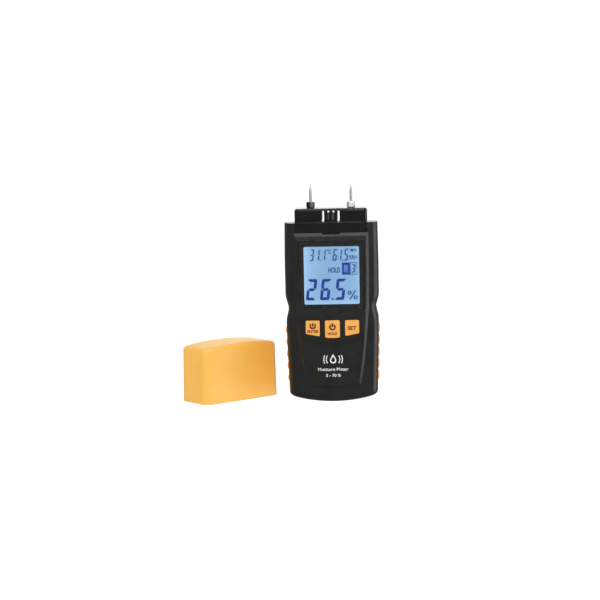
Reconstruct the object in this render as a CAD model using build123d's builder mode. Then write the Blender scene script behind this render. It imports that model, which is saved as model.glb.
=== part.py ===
from build123d import *
import os

os.makedirs("parts", exist_ok=True)

# Handheld two-pin moisture meter standing upright, with its pin cap standing beside it.
# Millimetres. +Z is up, the display faces -Y, and the meter's foot touches the ground at the origin.

# Case
LEDGE_Z = 133.0            # flat top edge of the front half, where the cap seats
REAR_DROP = 1.2            # the rear half stops lower, which leaves a finger gap under the cap
CASE_DEPTH = 34.0          # front to back, without the raised panel
FRONT = CASE_DEPTH / 2     # distance of the front and rear faces from the parting plane
WALL = 2.0
PLAN_RADIUS = 7.5          # rounding of the four long edges
FOOT_FLAT = 0.12           # the foot is a shallow arc seen from the front, cut flat by this much
FOOT_ROUND = 3.5
FOOT_HALF = 32.8
# Half width of the case at each height, foot to ledge, with the finger notch at the waist
SIDE_HEIGHTS = (19.5, 40.0, 56.0, 62.5, 70.1, 77.4, 84.0, 94.0, 115.0, 133.0)
SIDE_HALVES = (33.2, 33.9, 34.2, 33.9, 32.5, 34.3, 34.65, 34.7, 34.6, 34.3)

# Raised front panel
PANEL_HALF = 26.7
PANEL_FOOT_HALF = 19.8
PANEL_STRAIGHT_Z = 95.0
PANEL_BOTTOM_Z = 11.0
PANEL_CORNER_Z = 13.6
PANEL_TOP_Z = 125.5
PANEL_Y = 18.6
PANEL_SINK = 0.6           # the panel's 45 degree edge starts this far under the face of the case
PLATEAU_Y = 19.8
PLATEAU_TOP_Z = 120.2
STEP_Z = 41.4              # lowest point of the curved step under the buttons
STEP_RADIUS = 45.6
STEP_RISE = 3.0

# Display
LENS_TOP_Z = 120.0
LENS_BOTTOM_Z = 70.6
LENS_TOP_HALF = 24.6
LENS_BOTTOM_HALF = 23.6
LENS_THICK = 1.4
WINDOW_HALF = 21.3
WINDOW_BOTTOM_Z = 71.8
WINDOW_TOP_Z = 116.9
LCD_HALF = 22.8
LCD_BOTTOM_Z = 69.4
LCD_TOP_Z = 119.2
LCD_FRONT_Y = 16.5
LCD_THICK = 2.2

# Main board
BOARD_FRONT_Y = 8.5
BOARD_THICK = 1.6
BOARD_HALF = 25.2
BOARD_BOTTOM_Z = 18.0
BOARD_TOP_Z = 121.0

# Buttons
BUTTON_TOP_Z = 61.2
BUTTON_INNER = 9.3
BUTTON_OUTER = 19.7
BUTTON_INNER_Z = 49.4
BUTTON_OUTER_Z = 51.4
BUTTON_MID_HALF = 5.5
BUTTON_MID_Z = 48.5
BUTTON_FACE_Y = 20.5
BUTTON_TRAVEL = 0.8
BUTTON_GAP = 0.25
FLANGE_FRONT_Y = 14.7
FLANGE_THICK = 1.0
SWITCH_X = 14.6
SWITCH_Z = 55.6

# Probe head
HEAD_HALF = 26.8
HEAD_DEPTH = 22.0
HEAD_TOP_Z = 143.0
NECK_HALF = 26.2
NECK_FRONT_Y = 16.7
NECK_REAR_Y = 12.9
NECK_BOTTOM_Z = 122.5
SLOT_WIDE = 1.7
SLOT_PITCH = 3.8
SLOT_BOTTOM_Z = 133.4
SLOT_TOP_Z = 141.3
CHAMBER_HALF = 3.2

# Measuring pins
PIN_SPACING = 30.0
PIN_DIAMETER = 2.0
PIN_SHANK = 1.5            # inside the nut and the socket
PIN_SHOULDER_Z = 155.8
PIN_TIP_Z = 160.0
NUT_FLATS = 5.5
NUT_TOP_Z = 147.3

# Side grips
GRIP_HALF_DEPTH = 8.9
GRIP_BOTTOM_Z = 9.3
GRIP_TOP_Z = 59.3
GRIP_THICK = 1.5
RIB_COUNT = 5
RIB_FIRST_Z = 17.3
RIB_PITCH = 8.9
RIB_RADIUS = 4.4
RIB_PROUD = 1.2
RIB_HALF_DEPTH = 8.2

# Three AAA cells in the rear
CELL_DIAMETER = 10.5
CELL_LENGTH = 44.5
CELL_PITCH = 11.3
CELL_Y = 7.4
BAY_HALF = 17.4
BAY_BOTTOM_Z = 14.0
BAY_TOP_Z = 62.7
BAY_FLOOR_Y = 1.9
CONTACT_THICK = 0.4

# Battery door
DOOR_HALF = 20.4
DOOR_BOTTOM_Z = 12.6
DOOR_TOP_Z = 68.0
DOOR_THICK = 1.7
DOOR_GAP = 0.3
DOOR_TAB_X = 10.5

# Case screws, driven in from the rear
TOP_SCREW_X = 28.2
TOP_SCREW_Z = 114.0
FOOT_SCREW_X = 24.6
FOOT_SCREW_Z = 12.2

# Pin cap, rim down, standing to the left of the meter and turned
CAP_X = -78.7
CAP_Y = 8.3
CAP_TURN = 41.4
CAP_HALF_WIDE = 34.7
CAP_HALF_DEEP = 17.0
CAP_CORNER = 7.0
CAP_WALL = 1.8
CAP_CROWN_Z = 43.4
CAP_CROWN_END_Z = 40.7     # where the crown would meet the ends, before rounding
CAP_DRAFT = 1.0            # degrees, on all four sides


def save(part, label):
    """Names one piece and writes it to its own file."""
    part.label = label
    export_step(part, f"parts/{label}.step")


def both_sides(x, z):
    """The same spot left and right of the centre line, seen from the front."""
    return ((-x, z), (x, z))


def case_face(inset, top=LEDGE_Z):
    """Front view of the case, drawn the given distance inside its outer surface."""
    points = [(FOOT_HALF - inset, 5.0 + inset)]
    for height, half in zip(SIDE_HEIGHTS[:-1], SIDE_HALVES[:-1]):
        points.append((half - inset, height))
    points.append((SIDE_HALVES[-1] - inset, top))
    with BuildSketch() as face:
        with BuildLine():
            Spline(*points)
            Line(points[-1], (0, top))
            Spline(*[(-x, z) for x, z in points])
            Line((-points[-1][0], top), (0, top))
            ThreePointArc((-points[0][0], points[0][1]), (0, inset - FOOT_FLAT), points[0])
        make_face()
    return face.sketch


def case_body(inset, top, foot_round):
    """Rounded solid with the outline of the case, the given distance inside its surface."""
    reach = FRONT - inset
    with BuildPart() as body:
        with BuildSketch(Plane.XZ):
            add(case_face(inset, top))
        extrude(amount=reach, both=True)
        upright = body.edges().filter_by(lambda edge: edge.bounding_box().size.Z > 50)
        fillet(upright.filter_by(lambda edge: abs(edge.center().Y) > reach - 0.1), PLAN_RADIUS - inset)
        foot = body.faces().filter_by(lambda face: face.bounding_box().max.Z < 12)
        fillet(foot.edges().filter_by(lambda edge: edge.bounding_box().size.Y < 2 * reach), foot_round)
    return body.part


def panel_face(inset, top):
    """Front view of the raised panel: straight sides above, drawn in towards the foot."""
    half = PANEL_HALF - inset
    foot = PANEL_FOOT_HALF - inset
    with BuildSketch() as face:
        with BuildLine():
            Line((0, top), (half, top))
            Line((half, top), (half, PANEL_STRAIGHT_Z))
            TangentArc((half, PANEL_STRAIGHT_Z), (foot, PANEL_CORNER_Z + inset), tangent=(0, -1))
            ThreePointArc(
                (foot, PANEL_CORNER_Z + inset), (0, PANEL_BOTTOM_Z + inset), (-foot, PANEL_CORNER_Z + inset)
            )
            TangentArc((-half, PANEL_STRAIGHT_Z), (-foot, PANEL_CORNER_Z + inset), tangent=(0, -1))
            Line((-half, PANEL_STRAIGHT_Z), (-half, top))
            Line((-half, top), (0, top))
        make_face()
    return face.sketch


def plateau_face(inset, top, step):
    """Front view of the display and keypad plateau, which ends below in a curved step."""
    with BuildSketch() as face:
        add(panel_face(inset, top))
        with BuildSketch(mode=Mode.INTERSECT):
            with Locations((0, step + STEP_RADIUS)):
                Circle(STEP_RADIUS)
            with Locations((0, step + STEP_RADIUS + 40)):
                Rectangle(2 * STEP_RADIUS, 80)
    return face.sketch


def lens_face(inset):
    """Front view of the display window."""
    with BuildSketch() as face:
        with BuildLine():
            FilletPolyline(
                (-LENS_BOTTOM_HALF + inset, LENS_BOTTOM_Z + inset),
                (LENS_BOTTOM_HALF - inset, LENS_BOTTOM_Z + inset),
                (LENS_TOP_HALF - inset, LENS_TOP_Z - inset),
                (-LENS_TOP_HALF + inset, LENS_TOP_Z - inset),
                radius=1.0,
                close=True,
            )
        make_face()
    return face.sketch


def side_button_face(side, grow):
    """Front view of an outer button, whose lower edge follows the curved step."""
    with BuildSketch() as face:
        with BuildLine():
            FilletPolyline(
                (side * (BUTTON_INNER - grow), BUTTON_TOP_Z + grow),
                (side * (BUTTON_OUTER + grow), BUTTON_TOP_Z + grow),
                (side * (BUTTON_OUTER + grow), BUTTON_OUTER_Z - grow),
                (side * (BUTTON_INNER - grow), BUTTON_INNER_Z - grow),
                radius=1.0 + grow,
                close=True,
            )
        make_face()
    return face.sketch


def middle_button_face(grow):
    """Front view of the middle button, with its slightly bowed lower edge."""
    half = BUTTON_MID_HALF + grow
    low = BUTTON_MID_Z - grow
    with BuildSketch() as face:
        with BuildLine():
            Polyline((-half, low), (-half, BUTTON_TOP_Z + grow), (half, BUTTON_TOP_Z + grow), (half, low))
            ThreePointArc((half, low), (0, low - 0.4), (-half, low))
        make_face()
        fillet(face.vertices(), 1.0 + grow)
    return face.sketch


case_screw_spots = both_sides(TOP_SCREW_X, TOP_SCREW_Z) + both_sides(FOOT_SCREW_X, FOOT_SCREW_Z)
board_posts = both_sides(23.2, 21.0) + both_sides(23.2, 64.6)

BUTTON_FACES = {
    "button_enter": lambda grow: side_button_face(-1, grow),
    "button_power": middle_button_face,
    "button_set": lambda grow: side_button_face(1, grow),
}
BUTTON_STEMS = {"button_enter": -SWITCH_X, "button_power": 0.0, "button_set": SWITCH_X}


def grip_strip(outside, inside, bottom, top):
    """Front view of a strip that follows both side walls between two heights."""
    with BuildSketch() as strip:
        add(case_face(outside))
        add(case_face(inside), mode=Mode.SUBTRACT)
        with BuildSketch(mode=Mode.INTERSECT):
            with Locations(*both_sides(32, (bottom + top) / 2)):
                Rectangle(16, top - bottom)
    return strip.sketch


# Outer shell, made whole and then parted on the middle plane
with BuildPart() as shell:
    add(case_body(0, LEDGE_Z, FOOT_ROUND))
    with Locations((0, 0, -5)):
        Box(100, 100, 10, mode=Mode.SUBTRACT)
    # The panel's sloping edge starts under the face of the case, so that it meets it at the waist too
    with BuildSketch(Plane.XZ.offset(FRONT - PANEL_SINK)):
        add(panel_face(0.8 - (PANEL_Y - FRONT + PANEL_SINK), PANEL_TOP_Z + 0.9))
    with BuildSketch(Plane.XZ.offset(PANEL_Y)):
        add(panel_face(0.8, PANEL_TOP_Z - 2.4))
    loft()
    with BuildSketch(Plane.XZ.offset(PANEL_Y - 0.01)):
        add(plateau_face(0.8, PANEL_TOP_Z - 2.4, STEP_Z))
    with BuildSketch(Plane.XZ.offset(PLATEAU_Y)):
        add(plateau_face(1.5, PLATEAU_TOP_Z, STEP_Z + STEP_RISE))
    loft()
    add(case_body(WALL, LEDGE_Z - REAR_DROP - WALL, FOOT_ROUND - WALL), mode=Mode.SUBTRACT)
    # Thicker wall behind each side grip, then the pocket the grip lies in
    with BuildSketch(Plane.XZ):
        add(grip_strip(WALL - 0.1, 3.3, GRIP_BOTTOM_Z - 2, GRIP_TOP_Z + 2))
    extrude(amount=GRIP_HALF_DEPTH + 2, both=True)
    with BuildSketch(Plane.XZ):
        add(grip_strip(-3, GRIP_THICK + 0.1, GRIP_BOTTOM_Z - 0.2, GRIP_TOP_Z + 0.2))
    extrude(amount=GRIP_HALF_DEPTH + 0.2, both=True, mode=Mode.SUBTRACT)
    # Opening in the top for the neck of the probe head, which also shows as a band in front
    with Locations((0, (NECK_REAR_Y + 0.3) / 2 - 7.5, LEDGE_Z)):
        Box(2 * NECK_HALF + 0.6, NECK_REAR_Y + 0.3 + 15, 2 * (WALL + REAR_DROP) + 2, mode=Mode.SUBTRACT)
    with Locations((0, -FRONT, PANEL_TOP_Z + 10)):
        Box(2 * NECK_HALF + 0.6, 4.4, 20, mode=Mode.SUBTRACT)
    # Thumb dip in the upper edge of the panel
    with BuildSketch(Plane.XZ.offset(FRONT + 1)):
        with Locations((0, PANEL_TOP_Z)):
            SlotOverall(13, 2.2)
    extrude(amount=-4, mode=Mode.SUBTRACT)

with BuildPart() as front_case:
    add(shell.part)
    split(bisect_by=Plane.XZ, keep=Keep.TOP)
    # Screw posts and board posts on the inside of the front
    with BuildSketch(Plane.XZ):
        with Locations(*case_screw_spots):
            Circle(2.6)
    extrude(amount=FRONT - WALL + 0.2)
    with BuildSketch(Plane.XZ):
        with Locations(*case_screw_spots):
            Circle(1.15)
    extrude(amount=9, mode=Mode.SUBTRACT)
    with BuildSketch(Plane.XZ.offset(BOARD_FRONT_Y)):
        with Locations(*board_posts):
            Circle(1.9)
    extrude(amount=FRONT - WALL - BOARD_FRONT_Y + 0.2)
    with BuildSketch(Plane.XZ.offset(BOARD_FRONT_Y)):
        with Locations(*board_posts):
            Circle(0.9)
    extrude(amount=5, mode=Mode.SUBTRACT)
    # Recess for the display window, the opening behind it and the pocket for the display glass
    with BuildSketch(Plane.XZ.offset(PLATEAU_Y + 1)):
        add(lens_face(-0.1))
    extrude(amount=-(LENS_THICK + 1.05), mode=Mode.SUBTRACT)
    with BuildSketch(Plane.XZ.offset(PLATEAU_Y)):
        with Locations((0, (WINDOW_BOTTOM_Z + WINDOW_TOP_Z) / 2)):
            RectangleRounded(2 * WINDOW_HALF, WINDOW_TOP_Z - WINDOW_BOTTOM_Z, 1.2)
    extrude(amount=-8, mode=Mode.SUBTRACT)
    with BuildSketch(Plane.XZ.offset(LCD_FRONT_Y + 0.1)):
        with Locations((0, (LCD_BOTTOM_Z + LCD_TOP_Z) / 2)):
            Rectangle(2 * LCD_HALF + 0.6, LCD_TOP_Z - LCD_BOTTOM_Z + 0.6)
    extrude(amount=-4, mode=Mode.SUBTRACT)
    # Button openings
    for draw_button in BUTTON_FACES.values():
        with BuildSketch(Plane.XZ.offset(PLATEAU_Y + 1)):
            add(draw_button(BUTTON_GAP))
        extrude(amount=-6, mode=Mode.SUBTRACT)
save(front_case.part, "front_case")

with BuildPart() as rear_case:
    add(shell.part)
    split(bisect_by=Plane.XZ, keep=Keep.BOTTOM)
    with Locations((0, CASE_DEPTH / 2, LEDGE_Z - REAR_DROP + 5)):
        Box(100, CASE_DEPTH, 10, mode=Mode.SUBTRACT)
    bay_middle_z = (BAY_BOTTOM_Z + BAY_TOP_Z) / 2
    bay_tall = BAY_TOP_Z - BAY_BOTTOM_Z
    door_middle_z = (DOOR_BOTTOM_Z + DOOR_TOP_Z) / 2
    door_tall = DOOR_TOP_Z - DOOR_BOTTOM_Z
    # Battery bay box, with the rim that carries the door
    with BuildSketch(Plane.XZ.offset(-BAY_FLOOR_Y + 1.5)):
        with Locations((0, bay_middle_z)):
            Rectangle(2 * BAY_HALF + 3.6, bay_tall + 3.6)
    extrude(amount=-(FRONT - WALL + 0.2 - BAY_FLOOR_Y + 1.5))
    with BuildSketch(Plane.XZ.offset(-13.2)):
        with Locations((0, door_middle_z)):
            Rectangle(2 * DOOR_HALF + 3.6, door_tall + 3.6)
    extrude(amount=-2)
    with BuildSketch(Plane.XZ.offset(-BAY_FLOOR_Y)):
        with Locations((0, bay_middle_z)):
            Rectangle(2 * BAY_HALF, bay_tall)
    extrude(amount=-FRONT, mode=Mode.SUBTRACT)
    with BuildSketch(Plane.XZ.offset(-(FRONT - DOOR_THICK - DOOR_GAP))):
        with Locations((0, door_middle_z)):
            RectangleRounded(2 * DOOR_HALF + 0.6, door_tall + 0.6, 2.3)
    extrude(amount=-5, mode=Mode.SUBTRACT)
    # Pockets the door's two lower tabs swing in, and the one its latch sits in
    with Locations(*[(x, 13.75, 13.1) for x in (-DOOR_TAB_X, DOOR_TAB_X)]):
        Box(6.6, 2.5, 5.8, mode=Mode.SUBTRACT)
    with Locations((0, 14.1, 66.5)):
        Box(12, 1.9, 3.6, mode=Mode.SUBTRACT)
    # Slots the two battery leads leave by
    with Locations(*[(x, 4.0, BAY_TOP_Z + 0.9) for x in (-14.0, 14.0)]):
        Box(2.4, 2.4, 3, mode=Mode.SUBTRACT)
    # Screw posts with sunk heads
    with BuildSketch(Plane.XZ):
        with Locations(*case_screw_spots):
            Circle(2.9)
    extrude(amount=-(FRONT - WALL + 0.2))
    with BuildSketch(Plane.XZ):
        with Locations(*case_screw_spots):
            Circle(1.3)
    extrude(amount=-FRONT, mode=Mode.SUBTRACT)
    with BuildSketch(Plane.XZ.offset(-11)):
        with Locations(*case_screw_spots):
            Circle(2.1)
    extrude(amount=-10, mode=Mode.SUBTRACT)
    # Shallow recess for the rear label
    with BuildSketch(Plane.XZ.offset(-FRONT + 0.4)):
        with Locations((0, 94)):
            RectangleRounded(44, 30, 2)
    extrude(amount=-2, mode=Mode.SUBTRACT)
save(rear_case.part, "rear_case")

# Ribbed rubber grips let into the side walls
for label, side in (("grip_left", -1), ("grip_right", 1)):
    with BuildPart() as grip:
        for rib in range(RIB_COUNT):
            rib_z = RIB_FIRST_Z + rib * RIB_PITCH
            side_half = 32.45 + 1.7 * rib_z / 60
            with Locations((side * (side_half + RIB_PROUD - RIB_RADIUS), 0, rib_z)):
                Cylinder(RIB_RADIUS, 2 * RIB_HALF_DEPTH, rotation=(90, 0, 0))
        fillet(grip.edges().filter_by(GeomType.CIRCLE), 0.9)
        with BuildSketch(Plane.XZ):
            add(grip_strip(0, GRIP_THICK, GRIP_BOTTOM_Z, GRIP_TOP_Z))
        extrude(amount=GRIP_HALF_DEPTH, both=True)
        with BuildSketch(Plane.XZ):
            add(case_face(GRIP_THICK))
        extrude(amount=FRONT, both=True, mode=Mode.SUBTRACT)
        split(bisect_by=Plane.YZ, keep=Keep.TOP if side > 0 else Keep.BOTTOM)
    save(grip.part, label)

# Glossy probe head: a block above the ledge on a neck that goes down into the case
with BuildPart() as probe_head:
    with Locations((0, 0, (LEDGE_Z + HEAD_TOP_Z) / 2)):
        Box(2 * HEAD_HALF, HEAD_DEPTH, HEAD_TOP_Z - LEDGE_Z)
    upright = probe_head.edges().filter_by(Axis.Z)
    fillet(upright, 3.0)
    fillet(probe_head.faces().sort_by(Axis.Z)[-1].edges(), 1.7)
    neck_depth = NECK_FRONT_Y + NECK_REAR_Y
    with Locations((0, (NECK_REAR_Y - NECK_FRONT_Y) / 2, (PANEL_TOP_Z + LEDGE_Z) / 2 + 0.1)):
        Box(2 * NECK_HALF, neck_depth, LEDGE_Z - PANEL_TOP_Z - 0.2)
    with Locations((0, (NECK_REAR_Y - 14.7) / 2, (NECK_BOTTOM_Z + LEDGE_Z) / 2)):
        Box(2 * NECK_HALF, NECK_REAR_Y + 14.7, LEDGE_Z - NECK_BOTTOM_Z)
    # Lip caught under the shoulders of the case
    with Locations((0, 0, 128.0)):
        Box(2 * NECK_HALF + 4.4, 20, 2.6)
    # Hollow inside, left and right of the sensor chamber
    for side in (-1, 1):
        with Locations((side * 16.4, 0, (NECK_BOTTOM_Z + 141) / 2)):
            Box(16.4, 18, 141 - NECK_BOTTOM_Z, mode=Mode.SUBTRACT)
        with Locations((side * 16.4, -1, (NECK_BOTTOM_Z + 131) / 2)):
            Box(16.4, 24.4, 131 - NECK_BOTTOM_Z, mode=Mode.SUBTRACT)
    with Locations((0, 0, (NECK_BOTTOM_Z + 140) / 2)):
        Box(2 * CHAMBER_HALF, 14, 140 - NECK_BOTTOM_Z, mode=Mode.SUBTRACT)
    # Posts the pin sockets are pressed in
    with Locations(*[(x, 0, 137.5) for x in (-PIN_SPACING / 2, PIN_SPACING / 2)]):
        Cylinder(4.5, 9)
        Cylinder(2.5, 30, mode=Mode.SUBTRACT)
    # Four air slots straight through; the sensor board stands behind the inner two
    slot_tall = SLOT_TOP_Z - SLOT_BOTTOM_Z
    with BuildSketch(Plane.XZ.offset(HEAD_DEPTH / 2)):
        with Locations((0, SLOT_BOTTOM_Z + slot_tall / 2)):
            with GridLocations(SLOT_PITCH, 0, 4, 1):
                RectangleRounded(SLOT_WIDE, slot_tall, 0.6)
    extrude(amount=-HEAD_DEPTH, mode=Mode.SUBTRACT)
    # Dimples over the slots on the upper front and rear edges
    for face_y in (-HEAD_DEPTH / 2, HEAD_DEPTH / 2):
        with Locations((0, face_y, HEAD_TOP_Z)):
            with GridLocations(SLOT_PITCH, 0, 4, 1):
                Sphere(1.45, mode=Mode.SUBTRACT)
save(probe_head.part, "probe_head")

# Display stack
with BuildPart() as display_lens:
    with BuildSketch(Plane.XZ.offset(PLATEAU_Y - 0.05)):
        add(lens_face(0))
    extrude(amount=-LENS_THICK)
save(display_lens.part, "display_lens")

with BuildPart() as lcd_glass:
    with BuildSketch(Plane.XZ.offset(LCD_FRONT_Y)):
        with Locations((0, (LCD_BOTTOM_Z + LCD_TOP_Z) / 2)):
            Rectangle(2 * LCD_HALF, LCD_TOP_Z - LCD_BOTTOM_Z)
    extrude(amount=-LCD_THICK)
save(lcd_glass.part, "lcd_glass")

LIGHT_HALF = 21.4
LIGHT_BOTTOM_Z = 73.8
LIGHT_TOP_Z = 117.3
frame_front_y = LCD_FRONT_Y - LCD_THICK - 0.1
with BuildPart() as lcd_frame:
    with BuildSketch(Plane.XZ.offset(frame_front_y)):
        with Locations((0, 94.1)):
            RectangleRounded(50.4, 53.6, 1)
        with Locations((0, (LIGHT_BOTTOM_Z + LIGHT_TOP_Z) / 2)):
            Rectangle(2 * LIGHT_HALF + 0.4, LIGHT_TOP_Z - LIGHT_BOTTOM_Z + 0.4, mode=Mode.SUBTRACT)
        with Locations((0, 70.9)):
            Rectangle(41, 2.6, mode=Mode.SUBTRACT)
    extrude(amount=-(frame_front_y - BOARD_FRONT_Y))
save(lcd_frame.part, "lcd_frame")

with BuildPart() as backlight_panel:
    with BuildSketch(Plane.XZ.offset(frame_front_y)):
        with Locations((0, (LIGHT_BOTTOM_Z + LIGHT_TOP_Z) / 2)):
            Rectangle(2 * LIGHT_HALF, LIGHT_TOP_Z - LIGHT_BOTTOM_Z)
    extrude(amount=-3.2)
save(backlight_panel.part, "backlight_panel")

with BuildPart() as zebra_connector:
    with BuildSketch(Plane.XZ.offset(frame_front_y)):
        with Locations((0, 70.9)):
            Rectangle(40.4, 2.0)
    extrude(amount=-(frame_front_y - BOARD_FRONT_Y))
save(zebra_connector.part, "zebra_connector")

# Main board with what is soldered to its rear
board_rear_y = -(BOARD_FRONT_Y - BOARD_THICK)
with BuildPart() as main_board:
    with BuildSketch(Plane.XZ.offset(BOARD_FRONT_Y)):
        with Locations((0, (BOARD_BOTTOM_Z + BOARD_TOP_Z) / 2)):
            RectangleRounded(2 * BOARD_HALF, BOARD_TOP_Z - BOARD_BOTTOM_Z, 1.5)
        with Locations(*board_posts):
            Circle(1.15, mode=Mode.SUBTRACT)
        with Locations(*both_sides(9.0, 119.2)):
            Circle(0.6, mode=Mode.SUBTRACT)
    extrude(amount=-BOARD_THICK)
save(main_board.part, "main_board")


def on_board_rear(x, z, wide, tall, thick):
    """Box soldered to the rear of the board."""
    with BuildPart() as piece:
        with Locations((x, board_rear_y + thick / 2, z)):
            Box(wide, thick, tall)
    return piece.part


with BuildPart() as controller_chip:
    add(on_board_rear(0, 92, 10, 10, 1.4))
    chamfer(controller_chip.faces().sort_by(Axis.Y)[-1].edges(), 0.3)
    with Locations((-3.6, board_rear_y + 1.4, 95.6)):
        Cylinder(0.6, 0.3, rotation=(90, 0, 0), mode=Mode.SUBTRACT)
save(controller_chip.part, "controller_chip")

with BuildPart() as chip_legs:
    for turn in range(4):
        with Locations(Location((0, board_rear_y + 0.15, 92), (0, 90 * turn, 0))):
            with GridLocations(0.8, 0, 11, 1):
                with Locations((0, 0, 5.75)):
                    Box(0.35, 0.3, 1.4)
save(chip_legs.part, "chip_legs")

with BuildPart() as amplifier_chips:
    for spot_x, spot_z in both_sides(17.0, 104.0):
        add(on_board_rear(spot_x, spot_z, 6.2, 5.2, 1.5))
save(amplifier_chips.part, "amplifier_chips")

with BuildPart() as small_parts:
    for row in range(5):
        add(on_board_rear(-12.5, 76 + 3.2 * row, 2.0, 1.2, 0.8))
        add(on_board_rear(12.5, 76 + 3.2 * row, 2.0, 1.2, 0.8))
save(small_parts.part, "small_parts")

with BuildPart() as crystal_can:
    add(on_board_rear(18.6, 86, 3.4, 10.2, 3.2))
    fillet(crystal_can.edges().filter_by(Axis.Y), 1.6)
save(crystal_can.part, "crystal_can")

with BuildPart() as buzzer:
    with Locations((-18.2, board_rear_y + 2.1, 112.6)):
        Cylinder(5.4, 4.2, rotation=(90, 0, 0))
        Cylinder(1.0, 6, rotation=(90, 0, 0), mode=Mode.SUBTRACT)
save(buzzer.part, "buzzer")

# Push switches on the front of the board, one behind each button
with BuildPart() as push_switches:
    with BuildSketch(Plane.XZ.offset(BOARD_FRONT_Y)):
        with Locations((-SWITCH_X, SWITCH_Z), (0, SWITCH_Z), (SWITCH_X, SWITCH_Z)):
            Rectangle(6, 6)
    extrude(amount=3.1)
    with BuildSketch(Plane.XZ.offset(BOARD_FRONT_Y + 3.1)):
        with Locations((-SWITCH_X, SWITCH_Z), (0, SWITCH_Z), (SWITCH_X, SWITCH_Z)):
            Circle(1.7)
    extrude(amount=0.8)
save(push_switches.part, "push_switches")

# Buttons: a key with a flange behind the case wall and a stem over its switch
for label, draw_button in BUTTON_FACES.items():
    with BuildPart() as button:
        with BuildSketch(Plane.XZ.offset(FLANGE_FRONT_Y - FLANGE_THICK)):
            add(draw_button(0.0))
        extrude(amount=BUTTON_FACE_Y - FLANGE_FRONT_Y + FLANGE_THICK)
        fillet(button.faces().sort_by(Axis.Y)[0].edges(), 0.45)
        with BuildSketch(Plane.XZ.offset(FLANGE_FRONT_Y)):
            add(draw_button(0.9))
        extrude(amount=-FLANGE_THICK)
        with BuildSketch(Plane.XZ.offset(FLANGE_FRONT_Y - FLANGE_THICK)):
            with Locations((BUTTON_STEMS[label], SWITCH_Z)):
                Circle(1.6)
        extrude(amount=-0.4)
    save(button.part, label)

# Measuring pins with their clamping nuts and sockets
for label, pin_x in (("pin_left", -PIN_SPACING / 2), ("pin_right", PIN_SPACING / 2)):
    with BuildPart() as pin:
        with BuildSketch(Plane.XZ):
            with BuildLine():
                Polyline(
                    (pin_x, 134.5),
                    (pin_x + PIN_SHANK / 2, 134.5),
                    (pin_x + PIN_SHANK / 2, NUT_TOP_Z),
                    (pin_x + PIN_DIAMETER / 2, NUT_TOP_Z),
                    (pin_x + PIN_DIAMETER / 2, PIN_SHOULDER_Z),
                    (pin_x + 0.12, PIN_TIP_Z),
                    (pin_x, PIN_TIP_Z),
                    close=True,
                )
            make_face()
        revolve(axis=Axis((pin_x, 0, 0), (0, 0, 1)))
    save(pin.part, label)

pin_spots = ((-PIN_SPACING / 2, 0), (PIN_SPACING / 2, 0))
with BuildPart() as pin_nuts:
    with BuildSketch(Plane.XY.offset(HEAD_TOP_Z + 0.1)):
        with Locations(*pin_spots):
            RegularPolygon(NUT_FLATS / 2, 6, major_radius=False)
    extrude(amount=NUT_TOP_Z - HEAD_TOP_Z - 0.1)
    chamfer(pin_nuts.faces().filter_by(Axis.Z).edges(), 0.35)
    with BuildSketch(Plane.XY.offset(HEAD_TOP_Z)):
        with Locations(*pin_spots):
            Circle(PIN_SHANK / 2 + 0.05)
    extrude(amount=6, mode=Mode.SUBTRACT)
save(pin_nuts.part, "pin_nuts")

with BuildPart() as pin_sockets:
    with BuildSketch(Plane.XY.offset(132.6)):
        with Locations(*pin_spots):
            Circle(2.45)
    extrude(amount=HEAD_TOP_Z - 132.6)
    with BuildSketch(Plane.XY.offset(134.2)):
        with Locations(*pin_spots):
            Circle(PIN_SHANK / 2 + 0.05)
    extrude(amount=10, mode=Mode.SUBTRACT)
save(pin_sockets.part, "pin_sockets")


def wire(points, diameter):
    """Round lead along a smooth line through the points."""
    with BuildPart() as lead:
        with BuildLine() as run:
            Spline(*points)
        with BuildSketch(Plane(origin=run.line @ 0, z_dir=run.line % 0)):
            Circle(diameter / 2)
        sweep()
    return lead.part


with BuildPart() as pin_leads:
    for side in (-1, 1):
        add(wire(((side * 15, 0, 132.2), (side * 15.4, 0, 127), (side * 14, -3.5, 121), (side * 12, -6.2, 118)), 1.3))
save(pin_leads.part, "pin_leads")

with BuildPart() as battery_leads:
    for side in (-1, 1):
        add(wire(((side * 14, 4.0, 62.9), (side * 14, 3.6, 66), (side * 15, -2.0, 70), (side * 16, -6.2, 72)), 1.3))
save(battery_leads.part, "battery_leads")

# Air sensor in the chamber behind the slots
with BuildPart() as sensor_board:
    with Locations((0, 0.4, 130.6)):
        Box(2 * CHAMBER_HALF - 0.4, 0.8, 17.4)
save(sensor_board.part, "sensor_board")

with BuildPart() as humidity_sensor:
    with Locations((0, -0.75, 136.2)):
        Box(5.0, 1.5, 5.0)
    with Locations((0, -1.5, 136.2)):
        Cylinder(1.3, 0.8, rotation=(90, 0, 0), mode=Mode.SUBTRACT)
save(humidity_sensor.part, "humidity_sensor")

with BuildPart() as thermistor:
    with Locations((0, 1.8, 136.5)):
        Cylinder(0.8, 2.4)
    fillet(thermistor.faces().sort_by(Axis.Z)[-1].edges(), 0.3)
    with Locations(*[(x, 1.8, 133.4) for x in (-0.4, 0.4)]):
        Cylinder(0.2, 5.4)
save(thermistor.part, "thermistor")

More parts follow.
